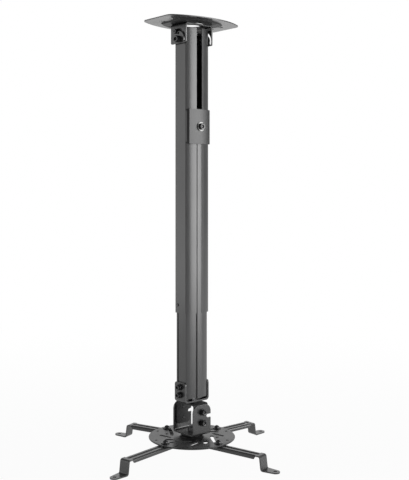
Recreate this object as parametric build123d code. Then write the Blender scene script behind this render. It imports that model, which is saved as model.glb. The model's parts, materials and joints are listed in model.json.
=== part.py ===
from build123d import *
import math
import os

# Projector ceiling mount, in millimetres.
# The origin is the centre of the ceiling plate's top face, +Z is up and the mount
# hangs below it. The pole's slot faces -Y.

# Ceiling plate: pressed sheet with bulging long sides and a sunk middle field.
plate_length = 166.0
plate_width = 121.0
plate_end_width = 73.5
plate_sheet = 1.8
plate_corner = 15.0
field_length = 100.0
field_width = 94.0
field_end_width = 56.0
field_corner = 6.0
field_depth = 2.0
cable_hole_r = 23.0
fix_slot_x = 57.0
fix_slot_y = 13.0
fix_slot_length = 14.0
fix_slot_width = 7.0
fix_hole_x = 22.0
fix_hole_y = 37.0
fix_hole_r = 3.2

# Pivot bracket under the plate: a U of sheet with two ears.
ear_sheet = 2.5
ear_bend = 2.0
ear_margin = 7.5
ear_side_gap = 2.4
ear_corner = 3.0
bracket_cable_r = 15.0
pivot_drop = 32.3
arc_slot_r = 17.0
arc_slot_start = 55.0
arc_slot_end = 191.0
lock_angle = 62.0
spare_hole_rise = 11.0
spare_hole_r = 2.2

# Outer tube: flat sides, bulging front and back, open slot down the front.
tube_width = 54.0
tube_depth = 42.0
tube_flat = 28.4
tube_wall = 1.6
tube_crease = 1.0
tube_above_pivot = 21.0
outer_length = 511.0
slot_width = 12.7

# Inner tube: one size down, with a front rib and a groove in each side.
slide_gap = 0.35
inner_wall = 1.6
inner_length = 511.0
inner_set_back = 6.0
rib_width = 9.8
rib_proud = 0.3
groove_y = 8.0
groove_width = 3.8
groove_depth = 1.0
guide_rise = 14.0
guide_head_r = 2.8
guide_head_h = 1.4
guide_tip_r = 1.5

# Clamp saddle on the front of the outer tube.
saddle_drop = 146.0
saddle_height = 62.0
saddle_sheet = 2.8
saddle_corner = 5.0
saddle_screw_drop = 31.0
clamp_washer_r = 8.0
clamp_washer_t = 1.6
clamp_nut_size = 15.0
clamp_nut_t = 5.0

# Tube bracket around the foot of the inner tube.
foot_sheet = 3.0
foot_bend = 3.0
foot_depth = 29.4
foot_lap = 28.5
foot_space = 5.0
foot_ear_corner = 5.0
foot_screw_rise = 6.0
foot_screw_pitch = 14.0
foot_nut_r = 4.3
foot_nut_h = 6.0

# Swivel between the tube bracket and the yoke: a flat-headed bolt and a washer.
swivel_washer_r = 13.0
swivel_head_r = 7.0
swivel_head_h = 1.0

# Yoke and cradle of the tilting head.
yoke_sheet = 2.5
yoke_bend = 2.0
yoke_half_depth = 25.1
yoke_width = 33.0
yoke_corner = 8.0
tilt_drop = 14.2
tilt_pitch = 19.0
tilt_range = 15.0
yoke_margin = 10.0
cradle_sheet = 2.5
cradle_bend = 2.5
cradle_gap = 0.3
cradle_width = 41.7
cradle_corner = 13.0
cradle_rise = 12.5
cradle_drop = 42.0
notch_width = 6.2
notch_depth = 10.0
notch_drop = 8.8

# Turning washer between the cradle and the plate.
turn_washer_r = 18.5
turn_washer_t = 2.7
turn_thread_end = 4.8

# Projector plate: round sheet with a raised boss, curved slots and holes.
disc_r = 78.0
disc_sheet = 2.5
disc_rim = 0.8
boss_r = 19.0
boss_foot_r = 24.0
boss_rise = 3.0
disc_turn = 4.2
arm_bolt_r = 65.8
curve_slot_width = 6.4
long_slot = ((56.0, 2.0), (45.0, 13.0), (36.0, 40.0))
short_slot = ((55.5, 43.5), (48.0, 50.5), (41.5, 61.0))
wide_slot = ((50.0, 73.5), (47.0, 76.0), (44.0, 79.5))
wide_slot_width = 7.4
link_hole_place = (46.4, 32.0)
link_hole_r = 3.0
dent_r = 69.0
dent_angle = 21.0
dent_hole_r = 2.6

# Arms: slotted channel strips with a bent leg and a round-ended foot.
arm_sheet = 2.2
arm_width = 20.0
arm_bend = 1.2
arm_tail = 11.0
arm_flange = 7.0
arm_reach = 128.0
arm_slot_inset = 10.0
arm_flange_inset = 9.0
arm_flange_cut = 4.0
leg_back = 22.0
leg_lean = 3.0
leg_bend = 3.2
foot_drop = 22.7
foot_end_r = 8.0
foot_hole_r = 3.2

# Each arm: place around the plate, swing off the radius, how far it is pushed in.
arms = {
    "left": (180.0, 6.0, 1.0),
    "front": (270.0, 7.5, 11.0),
    "right": (0.0, -6.2, 16.0),
    "back": (90.0, 14.8, 20.0),
}

# Screws, by size: shank radius, head radius, head height, socket across flats.
m4_shank, m4_head, m4_head_h, m4_socket = 2.0, 4.3, 2.9, 2.5
m6_shank, m6_head, m6_head_h, m6_socket = 3.0, 5.0, 6.0, 5.0
m6_flats, m6_nut_h = 10.0, 5.0
m8_shank, m8_head, m8_head_h, m8_socket = 4.0, 6.2, 7.6, 6.0
m8_flats, m8_hex_h, m8_nut_h = 13.0, 5.3, 6.5
washer_r = 6.2
washer_t = 1.4
thread_end = 1.2

# Domed arm bolt on its flange.
dome_flange_r = 7.4
dome_flange_t = 1.0
dome_r = 5.0
dome_h = 5.2

# Clearances that every fit uses.
pin_gap = 0.1
thread_gap = 0.05
run_gap = 0.3
slot_gap = 0.3

# Levels, worked out from the ceiling down.
field_z = -plate_sheet - field_depth
pivot_z = -pivot_drop
outer_top = pivot_z + tube_above_pivot
outer_foot = outer_top - outer_length
saddle_top = outer_top - saddle_drop
clamp_z = saddle_top - saddle_screw_drop
inner_top = saddle_top - inner_set_back
inner_foot = inner_top - inner_length
foot_floor = inner_foot - foot_space
foot_under = foot_floor - foot_sheet
swivel_washer_z = foot_under - washer_t
yoke_top = swivel_washer_z - run_gap
tilt_z = yoke_top - tilt_drop
tilt_lock_z = tilt_z - tilt_pitch
cradle_under = tilt_z - cradle_drop
turn_washer_z = cradle_under - turn_washer_t
disc_top = turn_washer_z - run_gap - boss_rise
disc_under = disc_top - disc_sheet
arm_top = disc_under - run_gap

# Distances from the pole's axis.
tube_side = tube_width / 2
ear_in = tube_side + ear_side_gap
ear_out = ear_in + ear_sheet
inner_inset = tube_wall + slide_gap
inner_side = tube_side - inner_inset
foot_side = inner_side + foot_sheet
cradle_half = yoke_half_depth + cradle_gap + cradle_sheet
saddle_face = tube_depth / 2 + slide_gap + saddle_sheet
lock_slot_width = 2 * (m4_shank + slot_gap)
leg_x = arm_reach - leg_back - leg_lean
arm_slot_end = leg_x - arm_slot_inset
arm_flange_end = leg_x - arm_flange_inset

MIN_Z = (Align.CENTER, Align.CENTER, Align.MIN)
MAX_Z = (Align.CENTER, Align.CENTER, Align.MAX)


def post(radius, height, up=True):
    """Round post on z = 0, upwards or downwards."""
    return Cylinder(radius, height, align=MIN_Z if up else MAX_Z)


def bore(radius, z=0.0):
    """Cutter for a round hole along Z, long enough for any sheet here."""
    return Pos(0, 0, z) * Cylinder(radius, 4 * tube_width)


def hexagon(flats, height):
    return extrude(RegularPolygon(flats / 2, 6, major_radius=False), height)


def barrel(length, width, end_width, inset=0.0, corner=0.0):
    """Outline with two straight ends and two bulging sides, moved in by inset."""
    bulge = (width - end_width) / 2
    arc_r = (length**2 / 4 + bulge**2) / (2 * bulge)
    x = length / 2 - inset
    y = width / 2 - arc_r + math.sqrt((arc_r - inset) ** 2 - x**2)
    crown = width / 2 - inset
    lines = [
        Line((-x, -y), (-x, y)),
        ThreePointArc((-x, y), (0, crown), (x, y)),
        Line((x, y), (x, -y)),
        ThreePointArc((x, -y), (0, -crown), (-x, -y)),
    ]
    face = make_face(lines)
    return fillet(face.vertices(), corner) if corner else face


def tube_outline(inset, corner=0.0):
    return barrel(tube_width, tube_depth, tube_flat, inset, corner)


def u_section(width, height, sheet, bend):
    """Folded U: floor on y = 0, walls up to height, with true bend radii."""
    outer = Pos(0, height / 2) * Rectangle(width, height)
    outer = fillet(outer.vertices().group_by(Axis.Y)[0], bend + sheet)
    inner = Pos(0, sheet + height / 2) * Rectangle(width - 2 * sheet, height)
    inner = fillet(inner.vertices().group_by(Axis.Y)[0], bend)
    return outer - inner


def round_ears(part, across, radius, top=True):
    """Round the free corners of a folded U's walls."""
    level = part.edges().filter_by(across).group_by(Axis.Z)[-1 if top else 0]
    return fillet(level, radius)


def cap_screw(shank, head, head_h, socket, length):
    """Socket screw on +Z: underside of the head on z = 0, shank below."""
    body = post(head, head_h) + post(shank, length, up=False)
    body = fillet(body.edges().filter_by(GeomType.CIRCLE).group_by(Axis.Z)[-1], head_h / 8)
    return body - Pos(0, 0, head_h / 2) * hexagon(socket, head_h)


def ring(outer_r, inner_r, height):
    return post(outer_r, height) - bore(inner_r)


def nut(flats, height, shank):
    return hexagon(flats, height) - bore(shank + thread_gap)


def rivet_nut(barrel_r, flange_r, flange_t, length, shank):
    """Flange on z = 0 upwards, barrel below it."""
    body = post(flange_r, flange_t) + post(barrel_r, length, up=False)
    return body - bore(shank + thread_gap)


def facing(side, distance, y, z):
    """Place for a part made on +Z so that it points out of the left or right side."""
    return Pos(side * distance, y, z) * Rot(0, 90 * side, 0)


def facing_front(distance, x, z, side=-1):
    """Place for a part made on +Z so that it points out of the front (-1) or back."""
    return Pos(x, side * distance, z) * Rot(-90 * side, 0, 0)


def turned(angle, part):
    return Rot(0, 0, angle) * part


def pair(places, part):
    """The same piece at each place, kept as separate solids of one node."""
    return Compound([place * part for place in places])


# Where the lock screws stand in the arc slots while the pole hangs straight.
lock_y = arc_slot_r * math.cos(math.radians(lock_angle))
lock_z = pivot_z + arc_slot_r * math.sin(math.radians(lock_angle))
pivot_nut_r = m8_shank + 1.4
lock_nut_r = m4_shank + 1.2
rivet_flange = 1.0
spacer_t = ear_side_gap - rivet_flange - run_gap


def ceiling_plate():
    sheet = extrude(barrel(plate_length, plate_width, plate_end_width, 0, plate_corner), -plate_sheet)
    top = barrel(field_length, field_width, field_end_width, 0, field_corner)
    low = barrel(field_length, field_width, field_end_width, field_depth, field_corner)
    field = loft([top, Pos(0, 0, -field_depth) * low])
    plate = sheet - field + Pos(0, 0, -plate_sheet) * field
    plate -= bore(cable_hole_r)
    for x in (-fix_slot_x, fix_slot_x):
        for y in (-fix_slot_y, fix_slot_y):
            slot = SlotOverall(fix_slot_length, fix_slot_width)
            plate -= Pos(x, y, -2 * plate_sheet) * extrude(slot, 4 * plate_sheet)
    for x in (-fix_hole_x, fix_hole_x):
        for y in (-fix_hole_y, fix_hole_y):
            plate -= Pos(x, y, 0) * bore(fix_hole_r)
    return plate


def pivot_bracket():
    height = pivot_drop + ear_margin + field_z
    section = u_section(2 * ear_out, height, ear_sheet, ear_bend)
    body = extrude(Plane.XZ * section, tube_depth / 2, both=True)
    body = round_ears(body, Axis.X, ear_corner)
    body = Pos(0, 0, field_z) * Rot(180, 0, 0) * body
    body -= bore(bracket_cable_r)
    arc = CenterArc((0, 0), arc_slot_r, arc_slot_start, arc_slot_end - arc_slot_start)
    slot = Pos(0, 0, pivot_z) * (Plane.YZ * SlotArc(arc, lock_slot_width))
    body -= extrude(slot, 2 * ear_out, both=True)
    across = Rot(0, 90, 0)
    body -= Pos(0, 0, pivot_z) * across * bore(m8_shank + pin_gap)
    body -= Pos(0, 0, pivot_z + spare_hole_rise) * across * bore(spare_hole_r)
    return body


def outer_tube():
    section = tube_outline(0, tube_crease) - tube_outline(tube_wall)
    section -= Pos(0, -tube_depth / 2) * Rectangle(slot_width, tube_depth / 2)
    body = Pos(0, 0, outer_foot) * extrude(section, outer_length)
    # The back of the top edge is rounded about the pivot, to swing under the bracket.
    across = Rot(0, 90, 0)
    swing_r = field_z - ear_sheet - run_gap - pivot_z
    block = Box(2 * tube_width, tube_depth, tube_depth, align=(Align.CENTER, Align.MIN, Align.MIN))
    block -= across * Cylinder(swing_r, 3 * tube_width)
    body -= Pos(0, 0, pivot_z) * block
    body -= Pos(0, 0, pivot_z) * across * bore(pivot_nut_r + thread_gap)
    body -= Pos(0, lock_y, lock_z) * across * bore(lock_nut_r + thread_gap)
    body -= Pos(0, groove_y, outer_foot + guide_rise) * across * bore(guide_tip_r + thread_gap)
    return body


def inner_section(inset, wall=0.0):
    """Inner tube's outline, or its cavity when a wall is given."""
    face = tube_outline(inset + wall, 0 if wall else tube_crease)
    rib = Pos(0, -tube_depth / 2) * Rectangle(rib_width - 2 * wall, tube_depth / 2)
    face += rib & tube_outline(wall - rib_proud)
    depth = groove_depth + wall
    for side in (-1, 1):
        x = side * (tube_side - inset - depth / 2)
        face -= Pos(x, groove_y) * Rectangle(depth, groove_width + 2 * wall)
    return face


def inner_tube():
    section = inner_section(inner_inset) - inner_section(inner_inset, inner_wall)
    body = Pos(0, 0, inner_foot) * extrude(section, inner_length)
    body -= facing_front(0, 0, clamp_z) * post(m6_shank + pin_gap, tube_depth)
    for z in foot_screw_levels:
        body -= Pos(0, 0, z) * Rot(0, 90, 0) * bore(m6_shank + pin_gap)
    return body


foot_screw_levels = [inner_foot + foot_screw_rise + n * foot_screw_pitch for n in range(2)]


def clamp_saddle():
    ring_face = tube_outline(-slide_gap - saddle_sheet) - tube_outline(-slide_gap)
    body = Pos(0, 0, saddle_top - saddle_height) * extrude(ring_face, saddle_height)
    front = RectangleRounded(tube_width, saddle_height, saddle_corner)
    centre_z = saddle_top - saddle_height / 2
    body &= Pos(0, 0, centre_z) * extrude(Plane.XZ * front, tube_depth)
    return body - facing_front(0, 0, clamp_z) * post(m6_shank + pin_gap, tube_depth)


def tube_bracket():
    height = foot_sheet + foot_space + foot_lap
    section = u_section(2 * foot_side, height, foot_sheet, foot_bend)
    body = extrude(Plane.XZ * section, foot_depth / 2, both=True)
    body = Pos(0, 0, foot_under) * round_ears(body, Axis.X, foot_ear_corner)
    for z in foot_screw_levels:
        body -= Pos(0, 0, z) * Rot(0, 90, 0) * bore(m6_shank + pin_gap)
    return body - bore(m8_shank + pin_gap, foot_under)


def side_notch():
    """Notch through both ears, open to one side, between the tilt screws."""
    notch = SlotOverall(cradle_width, notch_width)
    notch = Pos(cradle_width - notch_depth, 0, tilt_z - notch_drop) * (Plane.XZ * notch)
    return extrude(notch, 2 * cradle_half, both=True)


def yoke():
    height = tilt_drop + tilt_pitch + yoke_margin
    section = u_section(2 * yoke_half_depth, height, yoke_sheet, yoke_bend)
    body = extrude(Plane.YZ * section, yoke_width / 2, both=True)
    body = round_ears(body, Axis.Y, yoke_corner)
    body = Pos(0, 0, yoke_top) * Rot(180, 0, 0) * body
    for z in (tilt_z, tilt_lock_z):
        body -= Pos(0, 0, z) * Rot(90, 0, 0) * bore(m6_shank + thread_gap)
    body -= side_notch()
    return body - post(m8_shank + pin_gap, -2 * yoke_top, up=False)


def cradle():
    height = cradle_drop + cradle_rise
    section = u_section(2 * cradle_half, height, cradle_sheet, cradle_bend)
    body = extrude(Plane.YZ * section, cradle_width / 2, both=True)
    body = Pos(0, 0, cradle_under) * round_ears(body, Axis.Y, cradle_corner)
    body -= Pos(0, 0, tilt_z) * Rot(90, 0, 0) * bore(m6_shank + pin_gap)
    arc = CenterArc((0, 0), tilt_pitch, -90 - tilt_range - 1, 2 * tilt_range + 2)
    slot = Pos(0, 0, tilt_z) * (Plane.XZ * SlotArc(arc, 2 * (m6_shank + slot_gap)))
    body -= extrude(slot, 2 * cradle_half, both=True)
    body -= side_notch()
    return body - bore(m8_shank + pin_gap, cradle_under)


def curve_slot(places, width, turn):
    """Curved slot through three places, each given as radius and angle."""
    points = [(r * math.cos(math.radians(a)), r * math.sin(math.radians(a))) for r, a in places]
    return turned(turn, SlotArc(ThreePointArc(*points), width))


def projector_plate():
    profile = make_face(
        Polyline(
            (0, boss_rise),
            (boss_r, boss_rise),
            (boss_foot_r, 0),
            (disc_r, 0),
            (disc_r, -disc_sheet),
            (boss_foot_r - disc_sheet / 2, -disc_sheet),
            (boss_r - disc_sheet / 2, boss_rise - disc_sheet),
            (0, boss_rise - disc_sheet),
            close=True,
        )
    )
    body = revolve(Plane.XZ * profile, Axis.Z)
    rim = body.edges().filter_by(GeomType.CIRCLE).sort_by(SortBy.RADIUS)[-2:]
    body = fillet(rim, disc_rim)
    slots = Sketch()
    for quarter in range(4):
        for places, width in (
            (long_slot, curve_slot_width),
            (short_slot, curve_slot_width),
            (wide_slot, wide_slot_width),
        ):
            slots += curve_slot(places, width, 90 * quarter)
    body -= Pos(0, 0, -2 * disc_sheet) * extrude(slots, 4 * disc_sheet)
    for quarter in range(4):
        base = 90 * quarter
        body -= turned(base, Pos(arm_bolt_r, 0, 0) * bore(m6_shank + pin_gap))
        link_r, link_angle = link_hole_place
        body -= turned(base + link_angle, Pos(link_r, 0, 0) * bore(link_hole_r))
        for side in (-1, 1):
            body -= turned(base + side * dent_angle, Pos(dent_r, 0, 0) * bore(dent_hole_r))
    body -= bore(m8_shank + pin_gap)
    return Pos(0, 0, disc_top) * turned(disc_turn, body)


def arm():
    """Arm along +X from the inner end of its slot, strip's top on z = 0."""
    section = u_section(arm_width, arm_flange, arm_sheet, arm_bend)
    channel = extrude(Plane.YZ * section, arm_tail + arm_flange_end)
    channel = Pos(-arm_tail, 0, 0) * Rot(180, 0, 0) * channel
    wedge = make_face(
        Polyline(
            (arm_flange_end + 1, -arm_sheet - 0.2),
            (arm_flange_end, -arm_sheet - 0.2),
            (arm_flange_end - arm_flange_cut, -arm_flange - 1),
            (arm_flange_end + 1, -arm_flange - 1),
            close=True,
        )
    )
    channel -= extrude(Plane.XZ * wedge, arm_width, both=True)
    mid = -arm_sheet / 2
    tip = arm_reach + foot_end_r
    path = FilletPolyline(
        (arm_flange_end, mid),
        (leg_x, mid),
        (leg_x + leg_lean, mid - foot_drop),
        (tip, mid - foot_drop),
        radius=leg_bend,
    )
    strip = extrude(Plane.XZ * trace(path, arm_sheet), arm_width / 2, both=True)
    half = arm_width / 2
    plan = make_face(
        Polyline(
            (arm_flange_end, half),
            (leg_x + leg_back / 3, half),
            (arm_reach, foot_end_r),
            (arm_reach, -foot_end_r),
            (leg_x + leg_back / 3, -half),
            (arm_flange_end, -half),
            close=True,
        )
    )
    plan += Pos(arm_reach, 0) * Circle(foot_end_r)
    strip &= Pos(0, 0, -2 * foot_drop) * extrude(plan, 3 * foot_drop)
    body = channel + strip
    slot_mid = arm_slot_end / 2
    slot = SlotCenterToCenter(arm_slot_end, 2 * (m6_shank + slot_gap))
    body -= Pos(slot_mid, 0, -arm_flange) * extrude(slot, 2 * arm_flange)
    return body - Pos(arm_reach, 0, 0) * bore(foot_hole_r)


def arm_bolt():
    """Domed bolt on a flange: flange on z = 0, shank through plate and arm."""
    profile = make_face(
        [
            Line((0, 0), (dome_flange_r, 0)),
            Line((dome_flange_r, 0), (dome_flange_r, dome_flange_t)),
            Line((dome_flange_r, dome_flange_t), (dome_r, 1.5 * dome_flange_t)),
            ThreePointArc((dome_r, 1.5 * dome_flange_t), (0.72 * dome_r, 0.8 * dome_h), (0, dome_h)),
            Line((0, dome_h), (0, 0)),
        ]
    )
    head = revolve(Plane.XZ * profile, Axis.Z)
    length = run_gap + disc_sheet + run_gap + arm_sheet + run_gap + m6_nut_h + thread_end
    head += post(m6_shank, length, up=False)
    return head - Pos(0, 0, dome_h / 2) * hexagon(m6_socket - 1, dome_h)


def arm_place(name):
    """Bolt's place, arm's direction and how far it is pushed in, for one arm."""
    around, swing, pushed_in = arms[name]
    angle = around + disc_turn
    x = arm_bolt_r * math.cos(math.radians(angle))
    y = arm_bolt_r * math.sin(math.radians(angle))
    return x, y, angle + swing, pushed_in


parts = {}
parts["ceiling_plate"] = ceiling_plate()
parts["pivot_bracket"] = pivot_bracket()
parts["outer_tube"] = outer_tube()
parts["inner_tube"] = inner_tube()

# Pivot, lock and guide hardware, left and right.
outer_head = ear_out + run_gap
nut_reach = 8.0
for side_name, side in (("left", -1), ("right", 1)):
    at = facing(side, outer_head, 0, pivot_z)
    reach = run_gap + ear_sheet + ear_side_gap + nut_reach + thread_end
    parts[f"pivot_screw_{side_name}"] = at * cap_screw(m8_shank, m8_head, m8_head_h, m8_socket, reach)
    at = facing(side, tube_side + rivet_flange, 0, pivot_z)
    spacer = ring(m8_head + rivet_flange, m8_shank + thread_gap, spacer_t)
    parts[f"pivot_washer_{side_name}"] = at * spacer
    at = facing(side, tube_side, 0, pivot_z)
    sleeve = rivet_nut(pivot_nut_r, m8_head, rivet_flange, nut_reach, m8_shank)
    parts[f"pivot_nut_{side_name}"] = at * sleeve
    at = facing(side, outer_head, lock_y, lock_z)
    parts[f"lock_screw_{side_name}"] = at * cap_screw(m4_shank, m4_head, m4_head_h, m4_socket, reach)
    at = facing(side, tube_side, lock_y, lock_z)
    sleeve = rivet_nut(lock_nut_r, lock_nut_r + rivet_flange, rivet_flange, nut_reach, m4_shank)
    parts[f"lock_nut_{side_name}"] = at * sleeve
    at = facing(side, tube_side, groove_y, outer_foot + guide_rise)
    tip = tube_wall + slide_gap + groove_depth / 2
    guide = post(guide_head_r, guide_head_h) + post(guide_tip_r, tip, up=False)
    guide = fillet(guide.edges().filter_by(GeomType.CIRCLE).group_by(Axis.Z)[-1], guide_head_h / 2)
    parts[f"guide_screw_{side_name}"] = at * guide

# Clamp.
parts["clamp_saddle"] = clamp_saddle()
at = facing_front(saddle_face, 0, clamp_z)
parts["clamp_washer"] = at * ring(clamp_washer_r, m6_shank + thread_gap, clamp_washer_t)
nut_face = tube_depth / 2 - inner_inset - inner_wall - 0.8
at = facing_front(saddle_face + clamp_washer_t, 0, clamp_z)
reach = saddle_face + clamp_washer_t - nut_face + clamp_nut_t + thread_end
parts["clamp_screw"] = at * cap_screw(m6_shank, m6_head + 0.7, m6_head_h - 1, m6_socket, reach)
clamp_nut = Box(clamp_nut_size, clamp_nut_size, clamp_nut_t, align=MAX_Z)
clamp_nut = fillet(clamp_nut.edges().filter_by(Axis.Z), 2) - bore(m6_shank + thread_gap)
parts["clamp_nut"] = facing_front(nut_face, 0, clamp_z) * clamp_nut

# Foot of the pole.
parts["tube_bracket"] = tube_bracket()
foot_reach = washer_t + foot_sheet + inner_wall + foot_nut_h + thread_end
foot_washer = ring(washer_r, m6_shank + thread_gap, washer_t)
foot_screw = cap_screw(m6_shank, m6_head, m6_head_h, m6_socket, foot_reach)
foot_nut = post(foot_nut_r, foot_nut_h, up=False) - bore(m6_shank + thread_gap)
for side_name, side in (("left", -1), ("right", 1)):
    places = [facing(side, foot_side, 0, z) for z in foot_screw_levels]
    parts[f"foot_washers_{side_name}"] = pair(places, foot_washer)
    places = [facing(side, foot_side + washer_t, 0, z) for z in foot_screw_levels]
    parts[f"foot_screws_{side_name}"] = pair(places, foot_screw)
    places = [facing(side, inner_side - inner_wall, 0, z) for z in foot_screw_levels]
    parts[f"foot_nuts_{side_name}"] = pair(places, foot_nut)

# Swivel under the pole.
swivel_head_top = yoke_top - yoke_sheet - run_gap
swivel_reach = foot_floor - swivel_head_top + m8_nut_h + thread_end
swivel_bolt = post(swivel_head_r, swivel_head_h, up=False) + post(m8_shank, swivel_reach)
parts["swivel_bolt"] = Pos(0, 0, swivel_head_top) * swivel_bolt
parts["swivel_washer"] = Pos(0, 0, swivel_washer_z) * ring(swivel_washer_r, m8_shank + thread_gap, washer_t)
parts["swivel_nut"] = Pos(0, 0, foot_floor) * nut(m8_flats, m8_nut_h, m8_shank)

# Tilting head.
parts["yoke"] = yoke()
parts["cradle"] = cradle()
tilt_reach = washer_t + run_gap + cradle_sheet + cradle_gap + yoke_sheet + thread_end / 2
tilt_levels = (tilt_z, tilt_lock_z)
tilt_screw = cap_screw(m6_shank, m6_head, m6_head_h, m6_socket, tilt_reach)
for side_name, side in (("front", -1), ("back", 1)):
    places = [facing_front(cradle_half + run_gap, 0, z, side) for z in tilt_levels]
    parts[f"tilt_washers_{side_name}"] = pair(places, foot_washer)
    at = facing_front(cradle_half + run_gap + washer_t, 0, tilt_z, side)
    parts[f"tilt_pivot_screw_{side_name}"] = at * tilt_screw
    at = facing_front(cradle_half + run_gap + washer_t, 0, tilt_lock_z, side)
    parts[f"tilt_lock_screw_{side_name}"] = at * tilt_screw

# Turning joint under the cradle.
turn_head_top = disc_top + boss_rise - disc_sheet - run_gap
turn_reach = cradle_under + cradle_sheet - turn_head_top + m8_nut_h + turn_thread_end
turn_bolt = hexagon(m8_flats, -m8_hex_h) + post(m8_shank, turn_reach)
parts["turn_bolt"] = Pos(0, 0, turn_head_top) * turn_bolt
turn_washer = ring(turn_washer_r, m8_shank + thread_gap, turn_washer_t)
parts["turn_washer"] = Pos(0, 0, turn_washer_z) * turn_washer
parts["turn_nut"] = Pos(0, 0, cradle_under + cradle_sheet) * nut(m8_flats, m8_nut_h, m8_shank)
parts["projector_plate"] = projector_plate()

# Arms.
arm_shape = arm()
bolt_shape = arm_bolt()
nut_shape = nut(m6_flats, m6_nut_h, m6_shank)
for name in arms:
    x, y, angle, pushed_in = arm_place(name)
    at = Pos(x, y, arm_top) * Rot(0, 0, angle)
    parts[f"arm_{name}"] = at * Pos(-pushed_in, 0, 0) * arm_shape
    parts[f"arm_bolt_{name}"] = Pos(x, y, disc_top + run_gap) * Rot(0, 0, angle) * bolt_shape
    nut_z = arm_top - arm_sheet - run_gap - m6_nut_h
    parts[f"arm_nut_{name}"] = Pos(x, y, nut_z) * Rot(0, 0, angle) * nut_shape

os.makedirs("parts", exist_ok=True)
for node, solid in parts.items():
    export_step(solid, f"parts/{node}.step")
print(len(parts), "nodes, lowest level", round(arm_top - foot_drop - arm_sheet, 2))
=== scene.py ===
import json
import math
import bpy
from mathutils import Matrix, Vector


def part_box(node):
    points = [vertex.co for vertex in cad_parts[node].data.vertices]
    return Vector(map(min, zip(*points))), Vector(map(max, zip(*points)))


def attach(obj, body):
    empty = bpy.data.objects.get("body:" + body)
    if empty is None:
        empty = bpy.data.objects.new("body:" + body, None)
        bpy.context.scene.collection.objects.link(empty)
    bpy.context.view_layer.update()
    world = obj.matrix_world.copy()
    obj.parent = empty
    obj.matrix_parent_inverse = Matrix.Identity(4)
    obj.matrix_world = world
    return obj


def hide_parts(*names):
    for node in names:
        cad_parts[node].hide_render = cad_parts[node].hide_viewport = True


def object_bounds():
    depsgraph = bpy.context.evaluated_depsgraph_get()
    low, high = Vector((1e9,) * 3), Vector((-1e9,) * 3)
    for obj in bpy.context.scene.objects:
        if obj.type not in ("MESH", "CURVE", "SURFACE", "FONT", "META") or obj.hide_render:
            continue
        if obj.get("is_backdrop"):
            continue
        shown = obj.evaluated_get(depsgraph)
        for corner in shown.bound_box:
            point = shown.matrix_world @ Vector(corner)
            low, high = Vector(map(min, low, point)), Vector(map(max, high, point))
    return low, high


bl_info = {
    "name": "Projector ceiling mount",
    "version": (1, 0, 0),
    "blender": (4, 5, 0),
    "location": "3D View > Sidebar > Mount",
    "description": "Dresses a telescopic projector mount: coated sheets, knurled screws, nuts and stage",
    "category": "Object",
}

import bmesh
import bpy
from mathutils import Matrix, Vector

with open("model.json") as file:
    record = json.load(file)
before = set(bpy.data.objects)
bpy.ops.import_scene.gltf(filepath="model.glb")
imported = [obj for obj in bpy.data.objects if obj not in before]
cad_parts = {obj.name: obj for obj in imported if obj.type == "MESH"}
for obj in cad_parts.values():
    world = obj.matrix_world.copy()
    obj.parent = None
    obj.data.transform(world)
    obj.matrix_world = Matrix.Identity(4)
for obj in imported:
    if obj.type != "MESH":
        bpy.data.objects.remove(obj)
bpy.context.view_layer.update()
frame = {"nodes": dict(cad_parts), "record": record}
NODES = frame["nodes"]
BODY_OF = {name: body for body, names in frame["record"]["behaviour"]["bodies"].items() for name in names}

# Formed sheets and tubes, by the operator that dresses them.
CEILING_SHEETS = ("ceiling_plate", "pivot_bracket")
POLE_SHEETS = ("outer_tube", "inner_tube", "clamp_saddle", "tube_bracket")
HEAD_SHEETS = ("yoke", "cradle", "projector_plate")
ARM_SHEETS = ("arm_left", "arm_front", "arm_right", "arm_back")
# Sheets whose coat is duller than the pole's; the others have the plain powder coat.
DULLER_SHEETS = {
    "clamp_saddle": "Satin powder coat",
    "projector_plate": "Satin powder coat",
    "yoke": "Matt powder coat",
}
# The ceiling plate's pressed field lies below this height; its coat stays matt there.
FIELD_BELOW = -0.0019
# The clamp saddle's face: radius of its bow, sheet, and how it is flattened between its shoulders.
SADDLE_BOW_R = 0.0602
SADDLE_SHEET = 0.0028
SADDLE_SHOULDER = 0.003
SADDLE_FLATNESS = 0.45

# Faces that meet at a flatter angle than these are shaded as one.
SHEET_SMOOTH = math.radians(32)
PLAIN_SMOOTH = math.radians(30)
TURNED_SMOOTH = math.radians(28)
# Cut edges of a sheet are sharper than this, and get rounded.
SHEET_EDGE = math.radians(38)
# Facets of one curve or flat, closer than these, are merged before the rounding.
SAME_POINT = 1e-6
SAME_FACE = math.radians(0.6)

# Each finish: settings that hold its colour and roughness, metallic, size and depth of its grain
# as shares of the powder coat's, strength of its painted edge highlight, spread of its tone,
# specular level and clear coat.
FINISHES = {
    "Powder coat": dict(colour="coat_colour", roughness="coat_roughness", specular=0.36, coat=0.5),
    "Satin powder coat": dict(colour="coat_colour", roughness="coat_roughness", specular=0.3, coat=0.2),
    "Matt powder coat": dict(colour="coat_colour", roughness="matt_roughness", specular=0.18, coat=0.1),
    "Black oxide": dict(
        colour="oxide_colour", roughness="oxide_roughness", grain=1 / 3, relief=1 / 3,
        edge=0.6, spread=0.2),
    "Dark plating": dict(
        colour="nut_colour", roughness="nut_roughness", metallic=0.9, grain=1 / 2, relief=1 / 3,
        spread=0.2),
    "Bright zinc": dict(
        colour="zinc_colour", roughness="zinc_roughness", metallic=1.0, grain=1 / 2, relief=1 / 3,
        edge=0.3, spread=0.06),
}
CLEAR_COAT_ROUGHNESS = 0.22

SIDES = {"left": (-1, 0), "right": (1, 0), "front": (0, -1), "back": (0, 1)}
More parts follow.
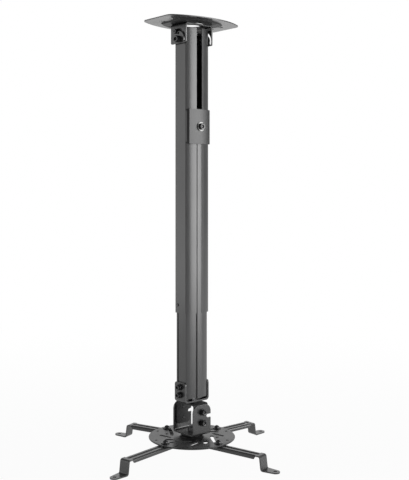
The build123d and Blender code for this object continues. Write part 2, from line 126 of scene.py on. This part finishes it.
# Socket screws that come in pairs: height of the head, width of the socket, screws in one node.
SIDE_SCREWS = {
    ("left", "right"): {
        "pivot_screw": (0.0076, 0.006, 1),
        "lock_screw": (0.0029, 0.0025, 1),
        "foot_screws": (0.006, 0.005, 2),
    },
    ("front", "back"): {
        "tilt_pivot_screw": (0.006, 0.005, 1),
        "tilt_lock_screw": (0.006, 0.005, 1),
    },
}
CLAMP_SCREW = (0.005, 0.005, 1)
# Shank radii of M8, M6 and M4, and the least head radius of each.
M8_SHANK, M6_SHANK, M4_SHANK = 0.004, 0.003, 0.002
SHANKS = ((0.006, M8_SHANK), (0.0045, M6_SHANK), (0.0, M4_SHANK))
M8_FLATS, M6_FLATS = 0.013, 0.010
TURN_BOLT_HEAD = 0.0053
# The last piece of a shank, cut to a point, and the steps around a turned piece.
SHANK_POINT = 0.0004
TURNED_STEPS = 72

# The picture that the camera is fitted to: its size, the pole's column and the horizon's row.
PICTURE_WIDTH, PICTURE_HEIGHT = 409, 480
POLE_COLUMN = 191.84
HORIZON_ROW = 190.9
SENSOR = 36
# Level direction from the camera to the mount, which its reflections find bright.
BEHIND_MOUNT = (0.653, 0.757, 0)
# Soft boxes: place and size. All are aimed at one point of the pole.
LAMP_AIM = (0, 0, -0.4)
LAMPS = {
    "key": ((1.2, -2.75, -0.05), (2.3, 1.9)),
    "side": ((2.3, -1.95, -0.05), (0.7, 1.9)),
    "rim": ((-2.5, 2.1, 0.0), (2.1, 2.0)),
}
FLOOR_SIZE = 14
FLOOR_ROUGHNESS = 0.8
WHITE = (1, 1, 1, 1)


class FinishSettings(bpy.types.PropertyGroup):
    coat_colour: bpy.props.FloatVectorProperty(
        name="Coat colour", description="Colour of the powder coat", subtype="COLOR", size=3,
        min=0, max=1, default=(0.017, 0.017, 0.0175))
    coat_roughness: bpy.props.FloatProperty(
        name="Coat roughness", description="Mean roughness of the powder coat",
        subtype="FACTOR", min=0, max=1, default=0.33)
    matt_roughness: bpy.props.FloatProperty(
        name="Matt roughness", description="Mean roughness of the coat in the ceiling plate's field",
        subtype="FACTOR", min=0, max=1, default=0.5)
    peel_size: bpy.props.FloatProperty(
        name="Peel size", description="Width of the coat's orange-peel waves",
        unit="LENGTH", min=0.0001, default=0.0016)
    peel_depth: bpy.props.FloatProperty(
        name="Peel depth", description="Height of the coat's orange-peel waves",
        unit="LENGTH", min=0, default=0.00002)
    oxide_colour: bpy.props.FloatVectorProperty(
        name="Oxide colour", description="Colour of the blackened screws", subtype="COLOR", size=3,
        min=0, max=1, default=(0.007, 0.007, 0.008))
    oxide_roughness: bpy.props.FloatProperty(
        name="Oxide roughness", description="Mean roughness of the blackened screws",
        subtype="FACTOR", min=0, max=1, default=0.2)
    nut_colour: bpy.props.FloatVectorProperty(
        name="Nut colour", description="Colour of the dark plated nuts and washers",
        subtype="COLOR", size=3, min=0, max=1, default=(0.17, 0.17, 0.175))
    nut_roughness: bpy.props.FloatProperty(
        name="Nut roughness", description="Mean roughness of the dark plated nuts and washers",
        subtype="FACTOR", min=0, max=1, default=0.36)
    zinc_colour: bpy.props.FloatVectorProperty(
        name="Zinc colour", description="Colour of the bright clamp washer", subtype="COLOR", size=3,
        min=0, max=1, default=(0.17, 0.17, 0.168))
    zinc_roughness: bpy.props.FloatProperty(
        name="Zinc roughness", description="Mean roughness of the bright clamp washer",
        subtype="FACTOR", min=0, max=1, default=0.42)
    edge_radius: bpy.props.FloatProperty(
        name="Edge radius", description="Rounding that the coat gives to a cut sheet edge",
        unit="LENGTH", min=0, default=0.00035)


class ScrewSettings(bpy.types.PropertyGroup):
    knurls: bpy.props.IntProperty(
        name="Knurls", description="Grooves around a socket screw's head", min=12, default=36)
    knurl_depth: bpy.props.FloatProperty(
        name="Knurl depth", description="Depth of the grooves", unit="LENGTH", default=0.00018)
    chamfer: bpy.props.FloatProperty(
        name="Chamfer", description="Chamfer of a head's top edge", unit="LENGTH", default=0.0006)
    pitch: bpy.props.FloatProperty(
        name="Thread pitch", description="Pitch of the visible thread ends", unit="LENGTH", default=0.0012)


class StageSettings(bpy.types.PropertyGroup):
    floor_drop: bpy.props.FloatProperty(
        name="Floor drop", description="Distance from the feet down to the floor",
        unit="LENGTH", default=0.5)
    floor_colour: bpy.props.FloatVectorProperty(
        name="Floor colour", description="Colour of the pale floor", subtype="COLOR", size=3,
        min=0, max=1, default=(0.9, 0.9, 0.9))
    world_level: bpy.props.FloatProperty(
        name="Room level", description="Brightness of the room around the mount",
        subtype="FACTOR", min=0, max=1, default=0.3)
    front_level: bpy.props.FloatProperty(
        name="Front level", description="Brightness of the room's front side in reflections",
        subtype="FACTOR", min=0, max=1, default=0.4)
    key_power: bpy.props.FloatProperty(
        name="Key power", description="Power of the soft box at the front right",
        unit="POWER", min=0, default=98)
    side_power: bpy.props.FloatProperty(
        name="Side power", description="Power of the narrow soft box beside the key",
        unit="POWER", min=0, default=14)
    rim_power: bpy.props.FloatProperty(
        name="Rim power", description="Power of the soft box at the back left",
        unit="POWER", min=0, default=20)
    camera_turn: bpy.props.FloatProperty(
        name="Camera turn", description="Angle of the view off the pole's front",
        unit="ROTATION", default=0.712)
    camera_distance: bpy.props.FloatProperty(
        name="Camera distance", description="Distance from the pole's axis", unit="LENGTH", default=1.513)
    camera_height: bpy.props.FloatProperty(
        name="Camera height", description="Height in the frame of the ceiling face",
        unit="LENGTH", default=-0.3033)
    camera_lens: bpy.props.FloatProperty(
        name="Lens", description="Focal length in millimetres on a 36 mm long side",
        unit="CAMERA", min=1, default=62.68)


def shader_group(name, inputs, outputs):
    """An empty shader node group with named float or colour sockets."""
    group = bpy.data.node_groups.new(name, "ShaderNodeTree")
    for label, kind, value in inputs:
        socket = group.interface.new_socket(label, in_out="INPUT", socket_type=kind)
        if value is not None:
            socket.default_value = value
    for label, kind in outputs:
        group.interface.new_socket(label, in_out="OUTPUT", socket_type=kind)
    return group, group.nodes.new("NodeGroupInput"), group.nodes.new("NodeGroupOutput")


def node(tree, kind, **values):
    """A node with its properties and its inputs' plain values."""
    made = tree.nodes.new(kind)
    for key, value in values.items():
        if key in made.inputs:
            made.inputs[key].default_value = value
        else:
            setattr(made, key, value)
    return made


def math_node(tree, operation, a, b=None):
    """Result of one operation on numbers or sockets."""
    made = node(tree, "ShaderNodeMath", operation=operation)
    for index, value in enumerate((a, b)):
        if value is None:
            continue
        if isinstance(value, (int, float)):
            made.inputs[index].default_value = value
        else:
            tree.links.new(value, made.inputs[index])
    return made.outputs[0]


def coat_grain_group():
    """Orange peel, fine specks and slow tone changes of a sprayed or plated surface."""
    group, start, end = shader_group(
        "Coat grain",
        [("Size", "NodeSocketFloat", 0.0016), ("Speck", "NodeSocketFloat", 0.4)],
        [("Height", "NodeSocketFloat"), ("Tone", "NodeSocketFloat"), ("Gloss", "NodeSocketFloat")])
    link = group.links.new
    where = node(group, "ShaderNodeTexCoord")
    scale = math_node(group, "DIVIDE", 1.0, start.outputs["Size"])
    peel = node(group, "ShaderNodeTexNoise", Detail=2.0, Roughness=0.45)
    link(where.outputs["Object"], peel.inputs["Vector"])
    link(scale, peel.inputs["Scale"])
    fine = node(group, "ShaderNodeTexNoise", Detail=1.0, Roughness=0.5)
    link(where.outputs["Object"], fine.inputs["Vector"])
    link(math_node(group, "MULTIPLY", scale, 4.0), fine.inputs["Scale"])
    slow = node(group, "ShaderNodeTexNoise", Scale=14.0, Detail=3.0, Roughness=0.55)
    link(where.outputs["Object"], slow.inputs["Vector"])
    speck = math_node(group, "MULTIPLY", fine.outputs["Fac"], start.outputs["Speck"])
    link(math_node(group, "ADD", peel.outputs["Fac"], speck), end.inputs["Height"])
    tone = math_node(group, "SUBTRACT", slow.outputs["Fac"], 0.5)
    link(math_node(group, "ADD", tone, math_node(group, "MULTIPLY", speck, 0.25)), end.inputs["Tone"])
    half_speck = math_node(group, "MULTIPLY", speck, 0.5)
    link(math_node(group, "ADD", slow.outputs["Fac"], half_speck), end.inputs["Gloss"])
    return group


def painted_edge_highlight_group():
    """Mask of a painted highlight: a thin lighter line along a cut edge, where the edge would catch light.
    """
    group, start, end = shader_group(
        "Edge sheen",
        [("Width", "NodeSocketFloat", 0.0006), ("Amount", "NodeSocketFloat", 0.5)],
        [("Mask", "NodeSocketFloat")])
    link = group.links.new
    rounded = node(group, "ShaderNodeBevel", samples=6)
    link(start.outputs["Width"], rounded.inputs["Radius"])
    shape = node(group, "ShaderNodeNewGeometry")
    across = node(group, "ShaderNodeVectorMath", operation="DOT_PRODUCT")
    link(rounded.outputs["Normal"], across.inputs[0])
    link(shape.outputs["Normal"], across.inputs[1])
    turn = math_node(group, "SUBTRACT", 1.0, across.outputs["Value"])
    breakup = node(group, "ShaderNodeTexNoise", Scale=260.0, Detail=3.0)
    where = node(group, "ShaderNodeTexCoord")
    link(where.outputs["Object"], breakup.inputs["Vector"])
    # Painted highlight mask along the edge, broken up by noise.
    painted_highlight = math_node(group, "MULTIPLY", turn, breakup.outputs["Fac"])
    painted_highlight = math_node(group, "MULTIPLY", painted_highlight, 6.0)
    level = node(group, "ShaderNodeMath", operation="MULTIPLY", use_clamp=True)
    link(painted_highlight, level.inputs[0])
    link(start.outputs["Amount"], level.inputs[1])
    link(level.outputs[0], end.inputs["Mask"])
    return group


def finish(name, colour, roughness, metallic=0.0, grain=1.0, relief=1.0,
           edge=0.5, spread=0.12, specular=0.5, coat=0.0):
    """A surface with its own grain and tone changes, and a painted highlight along its edges, as FINISHES
    lists them.
    """
    look = bpy.context.scene.mount_finish
    colour, roughness = getattr(look, colour), getattr(look, roughness)
    material = bpy.data.materials.new(name)
    material.use_nodes = True
    tree = material.node_tree
    link = tree.links.new
    shader = tree.nodes["Principled BSDF"]
    shader.inputs["Metallic"].default_value = metallic
    shader.inputs["Specular IOR Level"].default_value = specular
    shader.inputs["Coat Weight"].default_value = coat
    shader.inputs["Coat Roughness"].default_value = CLEAR_COAT_ROUGHNESS
    waves = node(tree, "ShaderNodeGroup", node_tree=bpy.data.node_groups["Coat grain"])
    waves.inputs["Size"].default_value = look.peel_size * grain
    # Painted highlight: a lighter colour along cut edges, where they would catch light; edge sets its
    # strength.
    edge_highlight = node(tree, "ShaderNodeGroup", node_tree=bpy.data.node_groups["Edge sheen"])
    edge_highlight.inputs["Amount"].default_value = edge
    dark = [part * (1 - spread) for part in colour] + [1]
    pale = [part * (1 + spread) for part in colour] + [1]
    painted_highlight = [min(1, part * 2.6 + 0.03) for part in colour] + [1]
    tone = node(tree, "ShaderNodeMapRange")
    tone.inputs["From Min"].default_value = -0.2
    tone.inputs["From Max"].default_value = 0.3
    link(waves.outputs["Tone"], tone.inputs["Value"])
    body = node(tree, "ShaderNodeMix", data_type="RGBA")
    body.inputs[6].default_value = dark
    body.inputs[7].default_value = pale
    link(tone.outputs["Result"], body.inputs["Factor"])
    # The painted edge highlight is mixed into the base colour here.
    with_edge_highlight = node(tree, "ShaderNodeMix", data_type="RGBA")
    with_edge_highlight.inputs[7].default_value = painted_highlight
    link(body.outputs[2], with_edge_highlight.inputs[6])
    link(edge_highlight.outputs["Mask"], with_edge_highlight.inputs["Factor"])
    link(with_edge_highlight.outputs[2], shader.inputs["Base Color"])
    gloss = node(tree, "ShaderNodeMapRange")
    gloss.inputs["From Min"].default_value = 0.3
    gloss.inputs["From Max"].default_value = 0.8
    gloss.inputs["To Min"].default_value = roughness - 0.05
    gloss.inputs["To Max"].default_value = roughness + 0.05
    link(waves.outputs["Gloss"], gloss.inputs["Value"])
    link(gloss.outputs["Result"], shader.inputs["Roughness"])
    bump = node(tree, "ShaderNodeBump", Strength=1.0, Distance=look.peel_depth * relief)
    link(waves.outputs["Height"], bump.inputs["Height"])
    link(bump.outputs["Normal"], shader.inputs["Normal"])
    return material


def material(name):
    """The named finish, made on first use."""
    found = bpy.data.materials.get(name)
    if found:
        return found
    if "Coat grain" not in bpy.data.node_groups:
        coat_grain_group()
        painted_edge_highlight_group()
    return finish(name, **FINISHES[name])


def paint(piece, name):
    """Gives a piece the named finish alone."""
    piece.data.materials.clear()
    piece.data.materials.append(material(name))


def new_piece(stands_for, ending, mesh, finish_name):
    """A visible piece in place of one CAD node, on that node's body."""
    piece = bpy.data.objects.new(stands_for + ending, mesh)
    bpy.context.scene.collection.objects.link(piece)
    paint(piece, finish_name)
    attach(piece, BODY_OF[stands_for])
    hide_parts(stands_for)
    return piece


def dark_plated(stands_for, ending, mesh):
    return new_piece(stands_for, ending, mesh, "Dark plating")


def flat_faced(build):
    """Flattens the clamp saddle's bowed face between its shoulders, as the press leaves it."""
    front = min(vert.co.y for vert in build.verts)
    end = max(vert.co.x for vert in build.verts)
    centre = front + SADDLE_BOW_R
    for vert in build.verts:
        across = abs(vert.co.x)
        on_face = math.hypot(across, vert.co.y - centre) > SADDLE_BOW_R - SADDLE_SHEET / 2
        if on_face and vert.co.y < 0:
            fall = SADDLE_BOW_R - math.sqrt(SADDLE_BOW_R ** 2 - across ** 2)
            shoulder = min(1.0, max(0.0, (end - across) / SADDLE_SHOULDER))
            vert.co.y -= SADDLE_FLATNESS * fall * shoulder * shoulder * (3 - 2 * shoulder)


def softened(name, reshape=None):
    """The sheet's own mesh with its cut edges rounded, as a thick coat leaves them."""
    width = bpy.context.scene.mount_finish.edge_radius
    build = bmesh.new()
    build.from_mesh(NODES[name].data)
    if reshape:
        reshape(build)
    bmesh.ops.remove_doubles(build, verts=build.verts, dist=SAME_POINT)
    bmesh.ops.dissolve_limit(build, angle_limit=SAME_FACE, verts=build.verts, edges=build.edges)
    sharp = [edge for edge in build.edges if edge.is_manifold and edge.calc_face_angle() > SHEET_EDGE]
    bmesh.ops.bevel(
        build, geom=sharp, offset=width, segments=2, profile=0.5, affect="EDGES", clamp_overlap=True)
    bmesh.ops.triangulate(build, faces=[face for face in build.faces if len(face.verts) > 4])
    mesh = bpy.data.meshes.new(name + "_coated")
    build.to_mesh(mesh)
    build.free()
    mesh.shade_smooth()
    mesh.set_sharp_from_angle(angle=SHEET_SMOOTH)
    piece = new_piece(name, "_coated", mesh, DULLER_SHEETS.get(name, "Powder coat"))
    weighted = piece.modifiers.new("Flat faces stay flat", "WEIGHTED_NORMAL")
    weighted.keep_sharp = True
    return piece


def plain_nodes(names, finish_name):
    """CAD pieces whose shape is complete get their finish alone."""
    for name in names:
        NODES[name].data.shade_smooth()
        NODES[name].data.set_sharp_from_angle(angle=PLAIN_SMOOTH)
        paint(NODES[name], finish_name)


def ring_mesh(name, rings, steps, place):
    """Mesh of closed rings joined in order; a ring is a function of the angle giving (radius, z)."""
    build = bmesh.new()
    rows = []
    for ring in rings:
        row = []
        for step in range(steps):
            angle = 2 * math.pi * step / steps
            radius, z = ring(angle)
            point = Vector((radius * math.cos(angle), radius * math.sin(angle), z))
            row.append(build.verts.new(place @ point))
        rows.append(row)
    for low, high in zip(rows, rows[1:]):
        for step in range(steps):
            after = (step + 1) % steps
            build.faces.new((low[step], low[after], high[after], high[step]))
    build.faces.new(list(reversed(rows[0])))
    build.faces.new(rows[-1])
    bmesh.ops.recalc_face_normals(build, faces=build.faces)
    mesh = bpy.data.meshes.new(name)
    build.to_mesh(mesh)
    build.free()
    mesh.shade_smooth()
    mesh.set_sharp_from_angle(angle=TURNED_SMOOTH)
    return mesh


def level(radius, z):
    """Round ring."""
    return lambda angle: (radius, z)


def hexagonal(flats, z, limit=1.0):
    """Ring on a hexagon's outline, held inside a radius."""
    def ring(angle):
        off = (angle % (math.pi / 3)) - math.pi / 6
        return min(flats / 2 / math.cos(off), limit), z
    return ring


def thread_rings(radius, start, end, pitch):
    """Rings of a thread's crests and roots from start to end."""
    count = max(1, round(abs(end - start) / pitch))
    step = (end - start) / count
    root = radius - 0.55 * pitch
    rings = []
    for turn in range(count):
        rings += [level(root, start + step * turn), level(radius, start + step * (turn + 0.35))]
        rings += [level(radius, start + step * (turn + 0.6))]
    return rings + [level(root, end)]


def joined(name, meshes):
    """Several meshes as one."""
    build = bmesh.new()
    for mesh in meshes:
        build.from_mesh(mesh)
        bpy.data.meshes.remove(mesh)
    mesh = bpy.data.meshes.new(name)
    build.to_mesh(mesh)
    build.free()
    mesh.shade_smooth()
    mesh.set_sharp_from_angle(angle=TURNED_SMOOTH)
    return mesh


def socket_screw_mesh(place, head, height, shank, length, socket, settings):
    """Socket screw on +Z: head's underside on z = 0, knurled side, hexagon socket and shank."""
    chamfer = min(settings.chamfer, height / 5)
    depth = settings.knurl_depth
    count = settings.knurls

    def knurled(z):
        return lambda angle: (head - depth * (0.5 - 0.5 * math.cos(count * angle)), z)

    low, high = height * 0.12, height * 0.8
    rings = [level(shank * 0.8, -length), level(shank, -length + 0.0006), level(shank, 0)]
    rings += [level(head - chamfer / 2, 0), level(head, chamfer / 2), level(head, low)]
    rings += [knurled(low * 1.2), knurled(high), level(head, high * 1.03)]
    rings += [level(head, height - chamfer), level(head - chamfer, height)]
    rings += [level(socket / 1.6, height), hexagonal(socket, height - chamfer / 3)]
    rings += [hexagonal(socket, height * 0.48), level(socket * 0.42, height * 0.45)]
    rings += [level(socket * 0.05, height * 0.36)]
    return ring_mesh("screw", rings, count * 4, place)


def hexagon_mesh(name, place, flats, low, high, shank, ends, pitch):
    """Hexagon with chamfered corners from low to high, on a threaded shank that reaches the ends."""
    tall = high - low
    corner = flats / 2 * 1.1547
    rings = []
    if ends[0] < low:
        rings += [level(shank * 0.8, ends[0])] + thread_rings(shank, ends[0] + SHANK_POINT, low, pitch)
    rings += [level(flats * 0.47, low), hexagonal(flats, low + tall * 0.015, flats * 0.5)]
    for share, cut in ((0.05, 0.25), (0.09, 0.55), (0.14, 1.0)):
        rings.append(hexagonal(flats, low + tall * share, flats / 2 + (corner - flats / 2) * cut))
    for share, cut in ((0.86, 1.0), (0.91, 0.55), (0.95, 0.25)):
        rings.append(hexagonal(flats, low + tall * share, flats / 2 + (corner - flats / 2) * cut))
    rings += [hexagonal(flats, high - tall * 0.015, flats * 0.5), level(flats * 0.47, high)]
    if ends[1] > high:
        rings += thread_rings(shank, high, ends[1] - SHANK_POINT, pitch) + [level(shank * 0.8, ends[1])]
    return ring_mesh(name, rings, TURNED_STEPS, place)


def facing(side, x, y, z):
    """Place with +Z turned to point out of the named side."""
    out = Vector((*SIDES[side], 0))
    return Matrix.Translation((x, y, z)) @ out.to_track_quat("Z", "Y").to_matrix().to_4x4()


def ends_of(name):
    """Low corner, high corner and middle of a node's box."""
    low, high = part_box(name)
    return low, high, (low + high) / 2


def socket_screw(name, side, height, socket, count):
    """Knurled screws in place of a node that holds one, or two above each other."""
    settings = bpy.context.scene.mount_screws
    low, high, middle = ends_of(name)
    axis = 0 if SIDES[side][0] else 1
    across = 1 - axis
    out = SIDES[side][axis]
    head = (high[across] - low[across]) / 2
    reach = high[axis] - low[axis]
    tip = high[axis] if out > 0 else low[axis]
    levels = [middle.z] if count == 1 else [low.z + head, high.z - head]
    meshes = []
    for z in levels:
        spot = Vector((0, 0, z))
        spot[axis] = tip - out * height
        spot[across] = middle[across]
        shank = next(radius for least, radius in SHANKS if head > least)
        place = facing(side, *spot)
        meshes.append(socket_screw_mesh(place, head, height, shank, reach - height, socket, settings))
    return new_piece(name, "_knurled", joined(name, meshes), "Black oxide")


class MOUNT_OT_ceiling(bpy.types.Operator):
    """Coats the ceiling plate and the bracket that carries the pivot"""
    bl_idname = "mount.ceiling"
    bl_label = "Ceiling plate and bracket"

    def execute(self, context):
        coated = {name: softened(name) for name in CEILING_SHEETS}
        plate = coated["ceiling_plate"].data
        plate.materials.append(material("Matt powder coat"))
        for face in plate.polygons:
            if face.center.z < FIELD_BELOW:
                face.material_index = 1
        return {"FINISHED"}


class MOUNT_OT_pole(bpy.types.Operator):
    """Coats the two tubes, the clamp saddle and the bracket at the pole's foot"""
    bl_idname = "mount.pole"
    bl_label = "Pole"

    def execute(self, context):
        for name in POLE_SHEETS:
            softened(name, flat_faced if name == "clamp_saddle" else None)
        return {"FINISHED"}


class MOUNT_OT_head(bpy.types.Operator):
    """Coats the yoke, the cradle and the round plate"""
    bl_idname = "mount.head"
    bl_label = "Head and plate"

    def execute(self, context):
        for name in HEAD_SHEETS:
            softened(name)
        return {"FINISHED"}


class MOUNT_OT_arms(bpy.types.Operator):
    """Coats the four arms"""
    bl_idname = "mount.arms"
    bl_label = "Arms"

    def execute(self, context):
        for name in ARM_SHEETS:
            softened(name)
        return {"FINISHED"}


class MOUNT_OT_screws(bpy.types.Operator):
    """Makes the knurled socket screws of the pivot, the clamp, the foot and the tilt"""
    bl_idname = "mount.screws"
    bl_label = "Socket screws"

    def execute(self, context):
        for sides, screws in SIDE_SCREWS.items():
            for side in sides:
                for name, (height, socket, count) in screws.items():
                    socket_screw(f"{name}_{side}", side, height, socket, count)
        socket_screw("clamp_screw", "front", *CLAMP_SCREW)
        return {"FINISHED"}


class MOUNT_OT_nuts(bpy.types.Operator):
    """Makes the hexagon bolts and nuts with their thread ends, and finishes the small turned pieces"""
    bl_idname = "mount.nuts"
    bl_label = "Nuts, bolts and washers"

    def execute(self, context):
        pitch = context.scene.mount_screws.pitch
        arm_bolts = [arm.replace("arm_", "arm_bolt_") for arm in ARM_SHEETS]
        for bolt in arm_bolts:
            nut = bolt.replace("bolt", "nut")
            low, high, middle = ends_of(nut)
            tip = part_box(bolt)[0].z
            place = Matrix.Translation((middle.x, middle.y, 0))
            mesh = hexagon_mesh("nut", place, M6_FLATS, low.z, high.z, M6_SHANK, (tip, high.z), pitch)
            dark_plated(nut, "_threaded", mesh)
        plain_nodes(arm_bolts, "Black oxide")
        low, high, _ = ends_of("swivel_bolt")
        edge = high.x
        rings = [level(edge * 0.9, low.z), level(edge, low.z + 0.0003), level(edge, low.z + 0.0008)]
        rings += [level(edge - 0.0002, low.z + 0.001), level(M8_SHANK, low.z + 0.001)]
        rings += thread_rings(M8_SHANK, low.z + 0.0012, high.z - SHANK_POINT, pitch)
        rings += [level(M8_SHANK * 0.8, high.z)]
        dark_plated("swivel_bolt", "_threaded", ring_mesh("swivel_bolt", rings, TURNED_STEPS, Matrix()))
        low, high, _ = ends_of("turn_bolt")
        under_head = low.z + TURN_BOLT_HEAD
        mesh = hexagon_mesh(
            "turn_bolt", Matrix(), M8_FLATS, low.z, under_head, M8_SHANK, (low.z, high.z), pitch)
        dark_plated("turn_bolt", "_threaded", mesh)
        for nut in ("swivel_nut", "turn_nut"):
            low, high, _ = ends_of(nut)
            mesh = hexagon_mesh(
                nut, Matrix(), M8_FLATS, low.z, high.z, M8_SHANK, (low.z, high.z), pitch)
            dark_plated(nut, "_chamfered", mesh)
        small = [name for name in NODES if NODES[name].hide_render is False]
        plated = [name for name in small if "nut" in name or name in ("swivel_washer", "turn_washer")]
        black = [name for name in small if name != "clamp_washer" and ("washer" in name or "guide" in name)]
        plain_nodes(plated, "Dark plating")
        plain_nodes(black, "Black oxide")
        plain_nodes(["clamp_washer"], "Bright zinc")
        return {"FINISHED"}


def soft_box(name, place, size, power):
    """A rectangular lamp that looks at the pole."""
    data = bpy.data.lights.new(name, "AREA")
    data.shape = "RECTANGLE"
    data.size, data.size_y = size
    data.energy = power
    lamp = bpy.data.objects.new(name, data)
    bpy.context.scene.collection.objects.link(lamp)
    lamp.location = place
    lamp.rotation_euler = (Vector(LAMP_AIM) - Vector(place)).to_track_quat("-Z", "Y").to_euler()


def seen_rays(tree):
    """One for rays that look at a thing: straight, reflected or through glass."""
    path = tree.nodes.new("ShaderNodeLightPath")
    glossy, through = path.outputs["Is Glossy Ray"], path.outputs["Is Transmission Ray"]
    mirrored = math_node(tree, "MAXIMUM", glossy, through)
    return math_node(tree, "MAXIMUM", path.outputs["Is Camera Ray"], mirrored)


def white_where_seen(tree, surface):
    """Mixes a white glow into the floor where it is seen, less near the mount so its shadow stays."""
    link = tree.links.new
    glow = node(tree, "ShaderNodeEmission", Strength=1.0)
    where = node(tree, "ShaderNodeTexCoord")
    away = node(tree, "ShaderNodeVectorMath", operation="LENGTH")
    link(where.outputs["Object"], away.inputs[0])
    share = node(tree, "ShaderNodeMapRange", interpolation_type="SMOOTHSTEP")
    for label, value in (("From Min", 0.8), ("From Max", 4.5), ("To Min", 0.93), ("To Max", 1.0)):
        share.inputs[label].default_value = value
    link(away.outputs["Value"], share.inputs["Value"])
    mix = tree.nodes.new("ShaderNodeMixShader")
    link(math_node(tree, "MULTIPLY", seen_rays(tree), share.outputs["Result"]), mix.inputs[0])
    link(surface, mix.inputs[1])
    link(glow.outputs[0], mix.inputs[2])
    return mix.outputs[0]


def backdrop_level(tree, front_level):
    """White backdrop for the camera and behind the mount; reflections find the room's front side darker."""
    where = node(tree, "ShaderNodeTexCoord")
    across = node(tree, "ShaderNodeVectorMath", operation="DOT_PRODUCT")
    tree.links.new(where.outputs["Generated"], across.inputs[0])
    across.inputs[1].default_value = BEHIND_MOUNT
    side = node(tree, "ShaderNodeMapRange", interpolation_type="SMOOTHSTEP")
    for label, value in (("From Min", 0.5), ("From Max", 0.97), ("To Min", front_level), ("To Max", 1.0)):
        side.inputs[label].default_value = value
    tree.links.new(across.outputs["Value"], side.inputs["Value"])
    path = tree.nodes.new("ShaderNodeLightPath")
    return math_node(tree, "MAXIMUM", side.outputs["Result"], path.outputs["Is Camera Ray"])


class MOUNT_OT_stage(bpy.types.Operator):
    """Sets the pale floor, the soft studio light and the camera"""
    bl_idname = "mount.stage"
    bl_label = "Stage"

    def execute(self, context):
        scene = context.scene
        stage = scene.mount_stage
        floor_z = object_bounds()[0][2] - stage.floor_drop
        build = bmesh.new()
        bmesh.ops.create_grid(build, x_segments=8, y_segments=8, size=FLOOR_SIZE)
        mesh = bpy.data.meshes.new("floor")
        build.to_mesh(mesh)
        build.free()
        floor = bpy.data.objects.new("floor", mesh)
        floor.location = (0, 0, floor_z)
        scene.collection.objects.link(floor)
        pale = bpy.data.materials.new("Pale floor")
        pale.use_nodes = True
        tree = pale.node_tree
        shader = tree.nodes["Principled BSDF"]
        shader.inputs["Base Color"].default_value = (*stage.floor_colour, 1)
        shader.inputs["Roughness"].default_value = FLOOR_ROUGHNESS
        out = tree.nodes["Material Output"]
        tree.links.new(white_where_seen(tree, shader.outputs[0]), out.inputs["Surface"])
        mesh.materials.append(pale)
        floor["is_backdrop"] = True

        world = bpy.data.worlds.new("Studio")
        scene.world = world
        world.use_nodes = True
        tree = world.node_tree
        room = tree.nodes["Background"]
        room.inputs["Color"].default_value = WHITE
        room.inputs["Strength"].default_value = stage.world_level
        backdrop = node(tree, "ShaderNodeBackground")
        backdrop.inputs["Color"].default_value = WHITE
        tree.links.new(backdrop_level(tree, stage.front_level), backdrop.inputs["Strength"])
        mix = tree.nodes.new("ShaderNodeMixShader")
        tree.links.new(seen_rays(tree), mix.inputs[0])
        tree.links.new(room.outputs[0], mix.inputs[1])
        tree.links.new(backdrop.outputs[0], mix.inputs[2])
        tree.links.new(mix.outputs[0], tree.nodes["World Output"].inputs["Surface"])

        for name, (place, size) in LAMPS.items():
            soft_box(name, place, size, getattr(stage, name + "_power"))

        data = bpy.data.cameras.new("camera")
        data.lens = stage.camera_lens
        data.sensor_width = SENSOR
        data.shift_x = (PICTURE_WIDTH / 2 - POLE_COLUMN) / PICTURE_HEIGHT
        data.shift_y = (HORIZON_ROW - PICTURE_HEIGHT / 2) / PICTURE_HEIGHT
        camera = bpy.data.objects.new("camera", data)
        turn, far = stage.camera_turn, stage.camera_distance
        camera.location = (-far * math.sin(turn), -far * math.cos(turn), stage.camera_height)
        camera.rotation_euler = (math.pi / 2, 0, -turn)
        scene.collection.objects.link(camera)
        scene.camera = camera
        scene.view_settings.view_transform = "Standard"
        return {"FINISHED"}


class MOUNT_PT_panel(bpy.types.Panel):
    bl_idname = "MOUNT_PT_panel"
    bl_label = "Projector mount"
    bl_space_type = "VIEW_3D"
    bl_region_type = "UI"
    bl_category = "Mount"

    def draw(self, context):
        for operator in OPERATORS:
            self.layout.operator(operator.bl_idname)


SETTINGS = {"mount_finish": FinishSettings, "mount_screws": ScrewSettings, "mount_stage": StageSettings}
OPERATORS = (
    MOUNT_OT_ceiling,
    MOUNT_OT_pole,
    MOUNT_OT_head,
    MOUNT_OT_arms,
    MOUNT_OT_screws,
    MOUNT_OT_nuts,
    MOUNT_OT_stage,
)


def register():
    for cls in (*SETTINGS.values(), *OPERATORS, MOUNT_PT_panel):
        bpy.utils.register_class(cls)
    for name, cls in SETTINGS.items():
        setattr(bpy.types.Scene, name, bpy.props.PointerProperty(type=cls))


def unregister():
    for name in SETTINGS:
        delattr(bpy.types.Scene, name)
    for cls in reversed((*SETTINGS.values(), *OPERATORS, MOUNT_PT_panel)):
        bpy.utils.unregister_class(cls)


def main():
    register()
    bpy.ops.mount.ceiling()
    bpy.ops.mount.pole()
    bpy.ops.mount.head()
    bpy.ops.mount.arms()
    bpy.ops.mount.screws()
    bpy.ops.mount.nuts()
    bpy.ops.mount.stage()
    bpy.context.view_layer.update()


if __name__ == "__main__":
    main()
